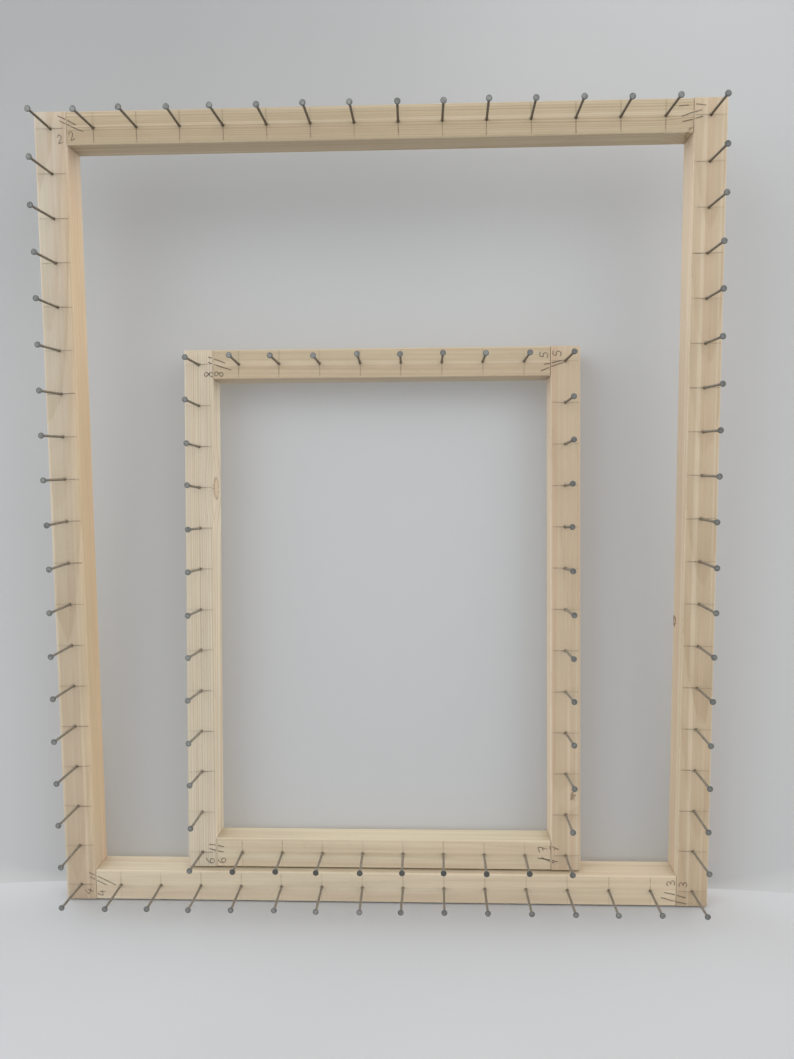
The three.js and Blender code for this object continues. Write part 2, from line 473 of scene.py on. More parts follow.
# The grain of each bar: its tint toward either end and how far the change reaches, where its pith lies
# across and deep and how that drifts along, the width and waver of its rings, and how strong its rings,
# warm bands and fibres are. Places are in metres from the middle of the bar. The tints are partly each
# board's own tone and partly painted light: they bring each bar's front to a set brightness under this
# stage's light, and the bottom rails' tints are raised most, for light their place near the floor doesn't
# get.
Grain = namedtuple("Grain", "tints reach pith drift ring waver rings bands fibre")
GRAIN = {
    "large_top_rail": Grain(
        ((0.89, 0.88, 0.84), (0.98, 0.98, 0.94)), 0.3,
        (0.088, 0.02), (0.004, 0.0), 0.0024, 0.0016, 0.62, 0.25, 0.5),
    "large_bottom_rail": Grain(
        ((1.3, 1.37, 1.46), (1.26, 1.27, 1.3)), 0.35,
        (-0.03, 0.10), (0.01, 0.02), 0.0060, 0.006, 0.18, 0.5, 0.4),
    "large_left_stile": Grain(
        ((0.91, 0.93, 0.94), (1.02, 1.12, 1.24)), 0.45,
        (-0.008, 0.046), (0.006, 0.035), 0.0044, 0.007, 0.3, 0.85, 0.45),
    "large_right_stile": Grain(
        ((0.92, 0.9, 0.85), (0.99, 0.98, 0.95)), 0.42,
        (0.004, 0.062), (0.01, 0.03), 0.0042, 0.005, 0.34, 0.75, 0.4),
    "small_top_rail": Grain(
        ((0.96, 0.98, 1.0), (0.94, 0.95, 0.96)), 0.22,
        (0.06, 0.05), (0.0, 0.01), 0.0048, 0.003, 0.3, 0.5, 0.4),
    "small_bottom_rail": Grain(
        ((1.14, 1.22, 1.3), (1.11, 1.17, 1.22)), 0.22,
        (0.03, 0.07), (0.01, 0.01), 0.0056, 0.004, 0.26, 0.6, 0.4),
    "small_left_stile": Grain(
        ((1.08, 1.15, 1.27), (1.11, 1.18, 1.32)), 0.3,
        (-0.09, 0.02), (0.003, 0.0), 0.0026, 0.0016, 0.66, 0.35, 0.5),
    "small_right_stile": Grain(
        ((0.92, 0.87, 0.86), (0.94, 0.9, 0.9)), 0.3,
        (0.01, 0.08), (0.006, 0.016), 0.0062, 0.005, 0.24, 0.8, 0.35),
}
GRAIN_SEEDS = {name: float(number) for number, name in enumerate(GRAIN, 1)}

# The knots: place and size along, across and deep, how strong the rim is, and where it starts
KNOTS = {
    "large_top_rail": ((0.3568, -0.0185, -0.0125), (0.0085, 0.0070, 0.0130), 0.6, 0.72),
    "large_right_stile": ((-0.127, -0.0185, 0.0130), (0.0068, 0.004, 0.0058), 1.8, 0.4),
    "small_left_stile": ((0.150, 0.0185, -0.0060), (0.0140, 0.0060, 0.0115), 0.6, 0.72),
    "small_right_stile": ((-0.229, 0.0088, -0.0235), (0.0100, 0.0060, 0.0060), 0.6, 0.72),
}

# Warm inner edges: where across the bar the warmth starts and is full, and how strong it is.
# The ends of such a bar aren't darker: a trace of their tone lies all over it.
BLUSHES = {"large_left_stile": (0.004, 0.019, 0.4)}
TRACE_OF_END_GRAIN = 0.019


def pine_material(name, settings):
    """Planed bare pine for one bar, its grain read from the bar's own place attribute."""
    grain = GRAIN[name]
    material, tree, shader = new_material(name + "_pine")
    place = attribute(tree, "bar_place")
    along, across, _ = parts(place)
    inputs = {
        "Place": place, "Pith": (0.0, *grain.pith), "Drift": (0.0, *grain.drift),
        "Ring Width": grain.ring, "Waver": grain.waver, "Seed": GRAIN_SEEDS[name]}
    knot_layers = []
    if name in KNOTS:
        centre, size, strength, start = KNOTS[name]
        knot = placed(knot_in_grain, {"Place": place, "Centre": centre, "Size": size, "Rim Start": start})
        inputs["Bend"] = knot["Bend"]
        inner = layered(tone(176, 146, 110), (knot["Rings"], tone(196, 168, 132)))
        knot_layers = [(knot["Mask"] * (strength * 0.8), inner), (knot["Rim"] * strength, settings.knot)]
    blush_layers = []
    if name in BLUSHES:
        start, end, amount = BLUSHES[name]
        faded = ramp(maths("ABSOLUTE", along), 0.34, 0.45, 1.0, 0.1)
        blush_layers = [(ramp(across, start, end, 0.0, amount) * faded, settings.blush)]
    end_grain = TRACE_OF_END_GRAIN if blush_layers else attribute(tree, "end_grain", "Fac")
    wood = placed(growth_rings, inputs)
    frame_name, _, part = name.split("_")
    pale = getattr(settings, f"{frame_name}_{part}")
    # the bar's pale wood under its tints: partly its own tone, partly painted light
    low, high = ([value * tint for value, tint in zip(pale, tints)] for tints in grain.tints)
    colour = layered(
        low,
        (ramp(along, -0.5 * grain.reach, grain.reach), high),
        (wood["Bands"] * (grain.bands * 0.6), settings.heartwood),
        (wood["Light"] * 0.45, settings.sapwood),
        *blush_layers,
        (wood["Rings"] * grain.rings, settings.latewood),
        (ramp(wood["Fibre"], 0.3, 0.72, grain.fibre * 0.42, 0.0), settings.latewood),
        (wood["Flecks"] * 0.22, tone(120, 88, 56)),
        *knot_layers)
    # worn holds the smudges left by hands and the painted highlight on the arrises
    worn = placed(handling, {
        "Place": place, "Colour": colour, "Arris": attribute(tree, "arris", "Fac"),
        "End Grain": end_grain, "Smudges": 0.16})
    fill(shader, {
        "Base Color": worn["Colour"], "Roughness": worn["Gloss"] * -0.12 + (wood["Rings"] * -0.1 + 0.66),
        "Specular IOR Level": 0.35, "Normal": bumped(wood["Height"], 0.35, 0.00012)})
    return material


# Bars

STATION_STEP = 0.0125
EDGE_LINE = 0.0006
END_RING = 0.93
MORTISE_PROUD = 0.004
WELD = 2e-6


def bar_section(half, arris, steps=6):
    """Points round a bar's section as (across, depth, share of arris), with lines across the flats."""
    inner = half - arris
    flats = (inner - EDGE_LINE, inner * 0.5, 0.0, -inner * 0.5, EDGE_LINE - inner)
    points = []
    for corner in range(4):
        turn = corner * math.pi / 2
        angles = [step * math.pi / 2 / steps for step in range(steps + 1)]
        quarter = [
            (inner + arris * math.cos(angle), inner + arris * math.sin(angle), math.sin(2 * angle))
            for angle in angles]
        for x, y, share in [*quarter, *((place, half, 0.0) for place in flats)]:
            points.append((
                x * math.cos(turn) - y * math.sin(turn), x * math.sin(turn) + y * math.cos(turn), share))
    return points


def mortise_slots(bar, half, steps=7):
    """The two slots in a stile that the rails' tenons enter, standing a little out of its inner face."""
    radius = MORTISE_THICKNESS / 2
    reach = MORTISE_WIDTH / 2 - radius
    outline = []
    for end in (0, 1):
        for step in range(steps + 1):
            angle = math.pi * (end + step / steps)
            outline.append((radius * math.cos(angle), (1 - 2 * end) * reach + radius * math.sin(angle)))
    shape = bmesh.new()
    for height in (bar.ends[0] + half, bar.ends[1] - half):
        loops = []
        for off in (half - MORTISE_DEPTH, half + MORTISE_PROUD):
            across = bar.centre + bar.inward * off
            loops.append([shape.verts.new((across, depth, height + rise)) for depth, rise in outline])
        loft(shape, loops, capped=True)
    return mesh_of(shape, "mortises")


def cut_mortises(mesh, bar, half):
    """The stile's mesh with its two mortises cut, and its place written again on every point."""
    slots = new_object("mortise_slots", mortise_slots(bar, half))
    stile = new_object("uncut_stile", mesh)
    modifier = stile.modifiers.new("mortises", "BOOLEAN")
    modifier.operation = "DIFFERENCE"
    modifier.solver = "EXACT"
    modifier.object = slots
    graph = bpy.context.evaluated_depsgraph_get()
    cut = bpy.data.meshes.new_from_object(
        stile.evaluated_get(graph), preserve_all_data_layers=True, depsgraph=graph)
    for item, old in ((slots, slots.data), (stile, mesh)):
        bpy.data.objects.remove(item)
        bpy.data.meshes.remove(old)
    shape = bmesh.new()
    shape.from_mesh(cut)
    bmesh.ops.remove_doubles(shape, verts=shape.verts, dist=WELD)
    bmesh.ops.dissolve_degenerate(shape, edges=shape.edges, dist=WELD)
    bmesh.ops.triangulate(shape, faces=[face for face in shape.faces if len(face.verts) > 4])
    shape.to_mesh(cut)
    shape.free()
    places = cut.attributes["bar_place"].data
    for vertex in cut.vertices:
        across, depth, along = vertex.co
        places[vertex.index].vector = (along - bar.middle, across - bar.centre, depth)
    return cut


def bar_mesh(name, bar, half, settings):
    """A planed bar with rounded arrises and eased ends, closed, with its own place on every point."""
    section = bar_section(half, settings.arris)
    ease = settings.stile_ease if bar.upright else settings.rail_ease
    shoulder = 0.3 * ease
    start, end = bar.ends
    plain = end - start - 2 * ease
    count = max(2, round(plain / STATION_STEP))
    stations = [
        (start, ease, 1.0), (start + shoulder, shoulder, 0.0),
        *((start + ease + plain * index / count, 0.0, 0.0) for index in range(count + 1)),
        (end - shoulder, shoulder, 0.0), (end, ease, 1.0)]
    seed = GRAIN_SEEDS[name] * 11.7
    shape = bmesh.new()
    place_layer = shape.verts.layers.float_vector.new("bar_place")
    arris_layer = shape.verts.layers.float.new("arris")
    end_layer = shape.verts.layers.float.new("end_grain")

    def add(along, across, depth, arris, cap):
        side = bar.centre + across
        vertex = shape.verts.new((side, depth, along) if bar.upright else (along, depth, side))
        vertex[place_layer] = (along - bar.middle, across, depth)
        vertex[arris_layer] = arris
        vertex[end_layer] = cap
        return vertex

    rings = []
    for along, inset, cap in stations:
        ring = []
        for across, depth, arris in section:
            dip = noise.noise(Vector((along * 7 + seed, across * 40, depth * 40))) * 0.5 + 0.5
            shrink = 1 - (inset + settings.waviness * dip) / half
            ring.append(add(along, across * shrink, depth * shrink, arris, cap))
        rings.append(ring)

    def closing(ring, along):
        """What closes an end: a loop just inside its rim, then its middle."""
        inner = [add(along, *(vertex[place_layer].yz * END_RING), 0.0, 1.0) for vertex in ring]
        return [inner, [add(along, 0.0, 0.0, 0.0, 1.0)]]

    loft(shape, [*reversed(closing(rings[0], start)), *rings, *closing(rings[-1], end)])
    mesh = mesh_of(shape, name + "_bar", smooth=True)
    if bar.upright:
        mesh = cut_mortises(mesh, bar, half)
        mesh.name = name + "_bar"
    return mesh


class LOOM_OT_bars(bpy.types.Operator):
    """Makes each frame's two stiles and two rails"""
    bl_idname = "loom.bars"
    bl_label = "Bars"

    def execute(self, context):
        settings = context.scene.loom_bars
        for frame_name, size in FRAMES.items():
            for name, bar in bars_of(frame_name).items():
                mesh = bar_mesh(name, bar, size.bar / 2, settings)
                new_piece(
                    name + "_bar", mesh, frame_name, pine_material(name, settings), bar.body,
                    [name])
        return {"FINISHED"}


# Nails

GROOVES = 4
GROOVE_PITCH = 0.0019
SPANGLE = 0.0014
LEAST_NAIL_FACES = 100

# How much darker the nail heads of a bar are than the rest
DULL_ROWS = {"small_bottom_rail": 0.7, "small_right_stile": 0.3, "large_right_stile": 0.25}


def nail_profile(settings):
    """(radius, distance out of the wood) from the point to the top of the head."""
    shank, head, top = settings.shank, settings.head, settings.stand_out
    under = top - settings.head_thickness
    point = top - NAIL_LENGTH
    grooves = [
        (shank * share, under - 0.0115 + groove * GROOVE_PITCH + rise) for groove in range(GROOVES)
        for share, rise in ((1, 0), (0.9, 0.0004), (0.9, 0.0007), (1, 0.0011))]
    return [
        (0.0, point), (shank * 0.55, point + 0.0025), (shank, point + 0.005), (shank, -0.001),
        (shank, under - 0.0125), *grooves,
        (shank, under - 0.0016), (shank * 1.12, under - 0.0008), (shank * 1.5, under - 0.0001),
        (head * 0.9, under + 0.0001), (head * 0.98, under + 0.00025), (head, under + 0.0005),
        (head, top - 0.0005), (head * 0.97, top - 0.00025), (head * 0.88, top - 0.0001),
        (head * 0.6, top), (head * 0.4, top - 0.00006), (0.0, top - 0.0001)]


def nail_template(settings, sides=14):
    """One nail along -Y with the wood's face at y = 0. Its place attribute holds radius and distance out."""
    shape = bmesh.new()
    layer = shape.verts.layers.float_vector.new("nail_place")
    rings = []
    for radius, out in nail_profile(settings):
        ring = []
        for index in range(sides if radius else 1):
            angle = 2 * math.pi * index / sides
            vertex = shape.verts.new((radius * math.cos(angle), -out, radius * math.sin(angle)))
            vertex[layer] = (radius, out, 0.0)
            ring.append(vertex)
        rings.append(ring)
    loft(shape, rings)
    return new_object("nail_template", mesh_of(shape, "nail_template", smooth=True))


def nail_row_tree():
    """Geometry nodes: a row of nails from a first place, a step and a count, each with its own small tilt."""
    tree = bpy.data.node_groups.new("nail_row", "GeometryNodeTree")
    sockets = {
        "Geometry": "Geometry", "Nail": "Object", "First": "Vector", "Step": "Vector", "Count": "Int",
        "Tilt": "Float", "Sink": "Float", "Seed": "Int", "Zinc": "Material"}
    for title, kind in sockets.items():
        tree.interface.new_socket(name=title, in_out="INPUT", socket_type="NodeSocket" + kind)
    tree.interface.new_socket(name="Geometry", in_out="OUTPUT", socket_type="NodeSocketGeometry")
    given = put(tree, "NodeGroupInput", out=None)
    tilt, seed = given["Tilt"], given["Seed"]
    points = put(tree, "GeometryNodeMeshLine", {
        "Count": given["Count"], "Start Location": given["First"], "Offset": given["Step"]}, mode="OFFSET")
    less = tilt * -1.0
    low = put(tree, "ShaderNodeCombineXYZ", {"X": less, "Z": less})
    high = put(tree, "ShaderNodeCombineXYZ", {"X": tilt, "Y": 2 * math.pi, "Z": tilt})
    turn = put(
        tree, "FunctionNodeRandomValue", {"Min": low, "Max": high, "Seed": seed}, data_type="FLOAT_VECTOR")
    # a nail is only ever driven deeper than the others, so its head stays inside the part's box
    sink = put(
        tree, "FunctionNodeRandomValue", {2: 0.0001, 3: given["Sink"], "Seed": seed}, 1, data_type="FLOAT")
    deeper = put(tree, "ShaderNodeCombineXYZ", {"Y": sink})
    moved = put(tree, "GeometryNodeSetPosition", {"Geometry": points, "Offset": deeper})
    nail = put(tree, "GeometryNodeObjectInfo", {"Object": given["Nail"], "As Instance": True}, "Geometry")
    row = put(tree, "GeometryNodeInstanceOnPoints", {"Points": moved, "Instance": nail, "Rotation": turn})
    real = put(tree, "GeometryNodeRealizeInstances", {"Geometry": row})
    coated = put(tree, "GeometryNodeSetMaterial", {"Geometry": real, "Material": given["Zinc"]})
    put(tree, "NodeGroupOutput", {0: coated}, None)
    return tree


def nail_row_mesh(name, tree, inputs):
    """Runs the nail row tree on a scratch object and gives back its plain mesh."""
    holder = new_object(name + "_row", bpy.data.meshes.new(name + "_row"))
    modifier = holder.modifiers.new("nail_row", "NODES")
    modifier.node_group = tree
    for item in tree.interface.items_tree:
        if item.in_out == "INPUT" and item.name in inputs:
            modifier[item.identifier] = inputs[item.name]
    graph = bpy.context.evaluated_depsgraph_get()
    mesh = bpy.data.meshes.new_from_object(holder.evaluated_get(graph), depsgraph=graph)
    bpy.data.objects.remove(holder)
    return mesh


def zinc_material(settings):
    """Dull galvanised steel, browner on the shank and darker round the head's rim, with painted shade on the
    shank's downward side and at its foot by the wood.
    """
    material, tree, shader = new_material("galvanised_nail")
    place = object_place(tree)
    radius, out, dull = parts(attribute(tree, "nail_place"))
    unit = scaled(place, (1 / SPANGLE,) * 3)
    cells = put(tree, "ShaderNodeTexVoronoi", {"Vector": unit, "Scale": 1.0}, "Color")
    spangle = put(tree, "ShaderNodeSeparateColor", {0: cells})
    worn = ramp(cloud(unit, 0.35, 3), 0.42, 0.66) * 0.55 + spangle * 0.25
    under = settings.stand_out - settings.head_thickness
    on_head = ramp(out, under - 0.0006, under)
    off_head = 1.0 - on_head
    facing = parts(put(tree, "ShaderNodeNewGeometry", out="Normal"))[2]
    rim = on_head * ramp(radius, settings.head * 0.55, settings.head * 0.92)
    colour = layered(
        settings.zinc,
        (worn, settings.tarnish),
        (ramp(cloud(place, 13.0, 1.0), 0.44, 0.6, 0.0, 0.28), tone(84, 86, 84)),
        (on_head * dull, tone(62, 62, 56)),
        (off_head * 0.62, tone(152, 142, 126)),
        # painted shade: the downward-facing side of the shank darker
        (off_head * ramp(facing, -0.8, 0.3, 0.62, 0.0), tone(70, 60, 42)),
        (rim * 0.6, tone(86, 90, 90)),
        # painted shade at the shank's foot, where it goes into the wood
        (ramp(out, 0.0, 0.005, 0.6, 0.0), tone(84, 70, 56)))
    fill(shader, {
        "Base Color": colour, "Roughness": worn * 0.3 + 0.38, "Metallic": 0.6,
        "Normal": bumped(cloud(unit, 5.0, 3), 0.3, 0.00008)})
    return material


def nail_shapes(frame_name, settings, template, tree, zinc):
    """Each body's nails as one shape, with the names of the solids they stand for."""
    bodies = {}
    for index, (bar_name, bar) in enumerate(bars_of(frame_name).items()):
        row = nail_row_mesh(bar_name, tree, {
            "Nail": template, "First": bar.first, "Step": bar.step, "Count": bar.count,
            "Tilt": settings.tilt, "Sink": settings.sink,
            "Seed": settings.seed + index + FRAMES[frame_name].nail_seed, "Zinc": zinc})
        if len(row.polygons) < bar.count * LEAST_NAIL_FACES:
            raise RuntimeError(f"{bar_name} has no nails")
        if bar.body not in bodies:
            bodies[bar.body] = (bmesh.new(), [])
        shape, names = bodies[bar.body]
        done = len(shape.verts)
        shape.from_mesh(row)
        shape.verts.ensure_lookup_table()
        layer = shape.verts.layers.float_vector["nail_place"]
        for vertex in shape.verts[done:]:
            vertex[layer].z = DULL_ROWS.get(bar_name, 0.0)
        names += [f"{bar_name}_nail_{number:02d}" for number in range(1, bar.count + 1)]
    return bodies


class LOOM_OT_nails(bpy.types.Operator):
    """Drives the large frame's 66 nails and the small frame's 42"""
    bl_idname = "loom.nails"
    bl_label = "Nails"

    def execute(self, context):
        settings = context.scene.loom_nails
        template = nail_template(settings)
        tree = nail_row_tree()
        zinc = zinc_material(settings)
        for frame_name in FRAMES:
            for body, (shape, names) in nail_shapes(frame_name, settings, template, tree, zinc).items():
                # the large frame's nails are one solid with their bars
                replaced = names if frame_name == "small" else ()
                mesh = mesh_of(shape, body + "_nails", smooth=True)
                new_piece(body + "_nails", mesh, frame_name, zinc, body, replaced)
        bpy.data.objects.remove(template)
        return {"FINISHED"}


# Pencil marks

# Figures as pen strokes in a box one wide and one high
FIGURES = {
    "1": [[(0.5, 0.02), (0.52, 0.5), (0.48, 1.0)]],
    "2": [[(0.1, 0.75), (0.25, 0.95), (0.6, 0.98), (0.78, 0.75), (0.6, 0.45), (0.1, 0.05), (0.9, 0.08)]],
    "3": [[(0.1, 0.9), (0.5, 1.0), (0.8, 0.8), (0.65, 0.58), (0.35, 0.5), (0.7, 0.45), (0.88, 0.22),
           (0.55, 0.02), (0.1, 0.1)]],
    "4": [[(0.45, 1.0), (0.08, 0.4), (0.92, 0.42)], [(0.68, 0.72), (0.64, 0.0)]],
    "5": [[(0.85, 0.97), (0.25, 0.95), (0.2, 0.56), (0.6, 0.6), (0.86, 0.36), (0.6, 0.04), (0.12, 0.1)]],
    "6": [[(0.75, 1.0), (0.3, 0.7), (0.14, 0.3), (0.4, 0.02), (0.78, 0.14), (0.74, 0.42), (0.4, 0.5),
           (0.16, 0.3)]],
    "7": [[(0.08, 0.94), (0.9, 0.98), (0.4, 0.0)], [(0.3, 0.5), (0.76, 0.54)]],
    "8": [[(0.76, 0.85), (0.45, 1.0), (0.2, 0.78), (0.74, 0.32), (0.5, 0.02), (0.2, 0.24), (0.68, 0.66),
           (0.78, 0.86)]],
}

# Marks at the corners, in metres on a frame's face from the middle of its foot: slanted strokes
# over a seam, figures as (figure, x, z, width, height, turn in degrees), and how dark they are
CornerMarks = namedtuple("CornerMarks", "strokes figures dark")
CORNER_MARKS = {
    "large": CornerMarks([
        ((0.3424, 0.9231), (0.3646, 0.9297)), ((0.3434, 0.9173), (0.3662, 0.9230)),
        ((-0.3658, 0.9384), (-0.3450, 0.9278)), ((-0.3641, 0.9329), (-0.3365, 0.9203)),
        ((0.3418, 0.0174), (0.3678, 0.0107)), ((0.3378, 0.0110), (0.3691, 0.0030)),
        ((-0.3648, 0.0344), (-0.3319, 0.0186)), ((-0.3640, 0.0290), (-0.3433, 0.0188))], [
        ("1", 0.3448, 0.9347, 0.006, 0.0095, 92), ("1", 0.3637, 0.9354, 0.006, 0.0095, 82),
        ("2", -0.3640, 0.9125, 0.0052, 0.0078, 12), ("2", -0.3502, 0.9160, 0.0052, 0.0082, 20),
        ("3", 0.3494, 0.0291, 0.0062, 0.0078, 96), ("3", 0.3641, 0.0275, 0.0062, 0.0078, 84),
        ("4", -0.3657, 0.0107, 0.0066, 0.0085, 70), ("4", -0.3500, 0.0086, 0.0066, 0.0085, 96)], 0.85),
    "small": CornerMarks([
        ((0.1943, 0.6094), (0.2216, 0.6196)), ((0.1983, 0.6174), (0.2191, 0.6220)),
        ((-0.2122, 0.6308), (-0.1908, 0.6229)), ((-0.2119, 0.6243), (-0.1834, 0.6146)),
        ((-0.2161, 0.0277), (-0.1974, 0.0249)), ((-0.2158, 0.0227), (-0.1978, 0.0183)),
        ((0.1900, 0.0146), (0.2143, 0.0106)), ((0.1945, 0.0157), (0.2098, 0.0091))], [
        ("5", 0.1983, 0.6290, 0.0065, 0.0085, 78), ("5", 0.2140, 0.6306, 0.0065, 0.0085, 82),
        ("8", -0.2112, 0.6096, 0.0072, 0.0092, 88), ("8", -0.1988, 0.6100, 0.0072, 0.0092, 84),
        ("7", 0.1964, 0.0257, 0.0068, 0.0085, 100), ("7", 0.2105, 0.0262, 0.0068, 0.0085, 92),
        ("6", -0.2147, 0.0077, 0.0068, 0.0088, 80), ("6", -0.2004, 0.0079, 0.0068, 0.0088, 96)], 1.0),
}
FIGURE_SCALE = 1.22
STROKE_BEND = 0.0004
SEAM_LEFT_BARE = 0.0008
MARK_DEPTH = 0.0003

# The line right across a bar at each nail, the line from its middle to its inner edge, and the dark ring
# round the nail, partly crushed wood and partly painted shade at the nail's foot: how dark each may be,
# and how far the second reaches
FAINT = (0.16, 0.36)
STRONG = (0.24, 0.5)
BRUISED_AND_SHADED = (0.35, 0.6)
HALF_LINE_REACH = (0.7, 1.0)
CROSS_SLANT = 0.0006
CROSS_STEPS = 8

# The line along a bar that its nails follow
GAUGE_DARK = 0.09
GAUGE_WAVER = 0.0004
GAUGE_OVERRUN = 0.012
GAUGE_STEPS = 60

# The pencil was pressed less on the bottom rails and on the small frame
BOTTOM_PRESSURE = 0.6
SMALL_PRESSURE = 0.8


def graphite_material(settings):
    """Pencil on wood: soft at its edges and broken up by the grain under it."""
    material, tree, shader = new_material("pencil_graphite")
    _, off, dark = parts(attribute(tree, "mark"))
    place = object_place(tree)
    grain = cloud(place, 1900.0, 3, 0.7)
    soft = ramp(maths("ABSOLUTE", off), 0.15, 1.0, 1.0, 0.0)
    broken = ramp(grain, 0.3, 0.62, 0.35, 1.0) * ramp(cloud(place, 160.0), 0.25, 0.7, 0.6, 1.0)
    fill(shader, {
        "Base Color": layered(settings.graphite, (grain, tone(96, 86, 74))),
        "Alpha": soft * broken * dark, "Roughness": grain * 0.15 + 0.5, "Specular IOR Level": 0.3})
    return material


class MarkSheet:
    """Collects one body's marks as thin closed strips let into the wood's front face."""

    def __init__(self, front, proud):
        self.shape = bmesh.new()
        self.layer = self.shape.verts.layers.float_vector.new("mark")
        self.top = front - proud
        self.deep = front + MARK_DEPTH

    def strip_end(self, sides, run, dark):
        """The four corners of a strip's section, from its two (x, z, share off the middle)."""
        corners = []
        for depth, (x, z, off) in zip(
                (self.top, self.top, self.deep, self.deep), (*sides, *reversed(sides))):
            vertex = self.shape.verts.new((x, depth, z))
            vertex[self.layer] = (run, off, dark)
            corners.append(vertex)
        return corners

    def stroke(self, points, width, dark):
        """A strip along points (x, z)."""
        loops = []
        run = 0.0
        for index, (x, z) in enumerate(points):
            before = Vector(points[max(0, index - 1)])
            after = Vector(points[min(len(points) - 1, index + 1)])
            way = (after - before).normalized() * width / 2
            if index:
                run += (Vector((x, z)) - before).length
            sides = ((x - way.y, z + way.x, 1.0), (x + way.y, z - way.x, -1.0))
            loops.append(self.strip_end(sides, run, dark))
        loft(self.shape, loops, capped=True)

    def ring(self, x, z, inner, outer, dark, sides=16):
        """A ring round a nail, darkest at the nail: partly crushed wood, partly painted shade at the nail's
        foot.
        """
        loops = []
        for index in range(sides):
            angle = 2 * math.pi * index / sides
            edges = tuple(
                (x + radius * math.cos(angle), z + radius * math.sin(angle), off)
                for radius, off in ((inner, 0.1), (outer, 1.0)))
            loops.append(self.strip_end(edges, 0, dark))
        loft(self.shape, loops, closed=True)


def smooth_path(points, step=0.0008, seed=0.0, wobble=0.00012):
    """A hand-drawn line through points: a smooth curve, sampled finely and slightly unsteady."""
    ends = [points[0], *points, points[-1]]
    path = []
    for index in range(1, len(ends) - 2):
        a, b, c, d = (Vector(p) for p in ends[index - 1:index + 3])
        count = max(2, round((c - b).length / step))
        for part in range(count + (index == len(ends) - 3)):
            t = part / count
            spot = 0.5 * (
                2 * b + (c - a) * t + (2 * a - 5 * b + 4 * c - d) * t * t + (3 * b - a - 3 * c + d) * t ** 3)
            shake = Vector([
                noise.noise(Vector((spot.x * 300, spot.y * 300, seed + shift))) for shift in (0.0, 9.0)])
            path.append(tuple(spot + shake * wobble))
    return path


def line_on(bar, spots):
    """Points (x, z) on a bar's face from (place along the part, distance from the bar's centre line)."""
    flipped = [(along, bar.centre + off) for along, off in spots]
    return [(off, along) for along, off in flipped] if bar.upright else flipped


def marks_for(frame_name, settings, nail_reach, flat_reach):
    """Draws every mark of one frame, each on the bar under it."""
    size = FRAMES[frame_name]
    half = size.bar / 2
    bars = bars_of(frame_name)
    seam = (size.columns - 1) * size.across / 2 - half
    flat = half - flat_reach
    rng = random.Random(size.mark_seed)
    sheets = {bar.body: MarkSheet(-half, settings.proud) for bar in bars.values()}

    def body_at(x):
        if abs(abs(x) - seam) < SEAM_LEFT_BARE:
            return None
        side = "_left_side" if x < 0 else "_right_side"
        return frame_name + ("_rails" if abs(x) < seam else side)

    def draw(path, width, dark):
        """Splits a path where it crosses a seam, and leaves the seam itself bare."""
        for body, run in groupby(path, lambda spot: body_at(spot[0])):
            run = list(run)
            if body and len(run) > 1:
                sheets[body].stroke(run, width, dark)

    for bar_name, bar in bars.items():
        pressure = BOTTOM_PRESSURE if "bottom" in bar_name else 1.0
        if frame_name == "small":
            pressure *= SMALL_PRESSURE
        for index in range(bar.count):
            x, _, z = (first + step * index for first, step in zip(bar.first, bar.step))
            middle = z if bar.upright else x
            slant = rng.uniform(-CROSS_SLANT, CROSS_SLANT) / half
            faint = pressure * rng.uniform(*FAINT)
            strong = pressure * rng.uniform(*STRONG)
            lines = (
                (-flat, flat, faint, settings.line),
                (0.0, bar.inward * flat * rng.uniform(*HALF_LINE_REACH), strong, settings.line * 0.8))
            for start, end, dark, width in lines:
                offs = [start + (end - start) * part / CROSS_STEPS for part in range(CROSS_STEPS + 1)]
                draw(line_on(bar, [(middle + slant * off, off) for off in offs]), width, dark)
            # the dark ring round the nail: partly crushed wood, partly painted shade
            dark = rng.uniform(*BRUISED_AND_SHADED)
            sheets[bar.body].ring(x, z, nail_reach * 0.8, nail_reach + settings.bruise_and_shade, dark)
        start = bar.first[2 if bar.upright else 0] - GAUGE_OVERRUN
        length = (bar.count - 1) * sum(bar.step) + 2 * GAUGE_OVERRUN
        gauge = []
        for part in range(GAUGE_STEPS + 1):
            along = start + length * part / GAUGE_STEPS
            waver = GAUGE_WAVER * noise.noise(Vector((along * 9, size.rows, bar.centre * 5)))
            gauge.append((along, waver))
        draw(line_on(bar, gauge), settings.line * 0.6, GAUGE_DARK)

    marks = CORNER_MARKS[frame_name]
    for index, ends in enumerate(marks.strokes):
        a, b = Vector(ends[0]), Vector(ends[1])
        middle = (a + b) / 2 + Vector((0, STROKE_BEND * (-1) ** index))
        draw(smooth_path([a, middle, b], seed=index), settings.stroke, marks.dark)
    for index, (figure, x, z, width, height, turn) in enumerate(marks.figures):
        turned = Matrix.Rotation(math.radians(turn), 2)
        for lines in FIGURES[figure]:
            points = [
                Vector((x, z)) + turned @ Vector(((u - 0.5) * width, (v - 0.5) * height)) * FIGURE_SCALE
                for u, v in lines]
            draw(smooth_path(points, 0.0005, index * 3.3), settings.stroke * 0.85, marks.dark)
    return sheets


class LOOM_OT_pencil_marks(bpy.types.Operator):
    """Draws the cross lines, gauge lines, seam strokes and figures on both frames"""
    bl_idname = "loom.pencil_marks"
    bl_label = "Pencil marks"

    def execute(self, context):
        scene = context.scene
        settings = scene.loom_pencil
        graphite = graphite_material(settings)
        for frame_name in FRAMES:
            sheets = marks_for(frame_name, settings, scene.loom_nails.shank, scene.loom_bars.arris * 0.85)
            for body, sheet in sheets.items():
                mesh = mesh_of(sheet.shape, body + "_marks")
                new_piece(body + "_marks", mesh, frame_name, graphite, body)
        return {"FINISHED"}


# Tenons


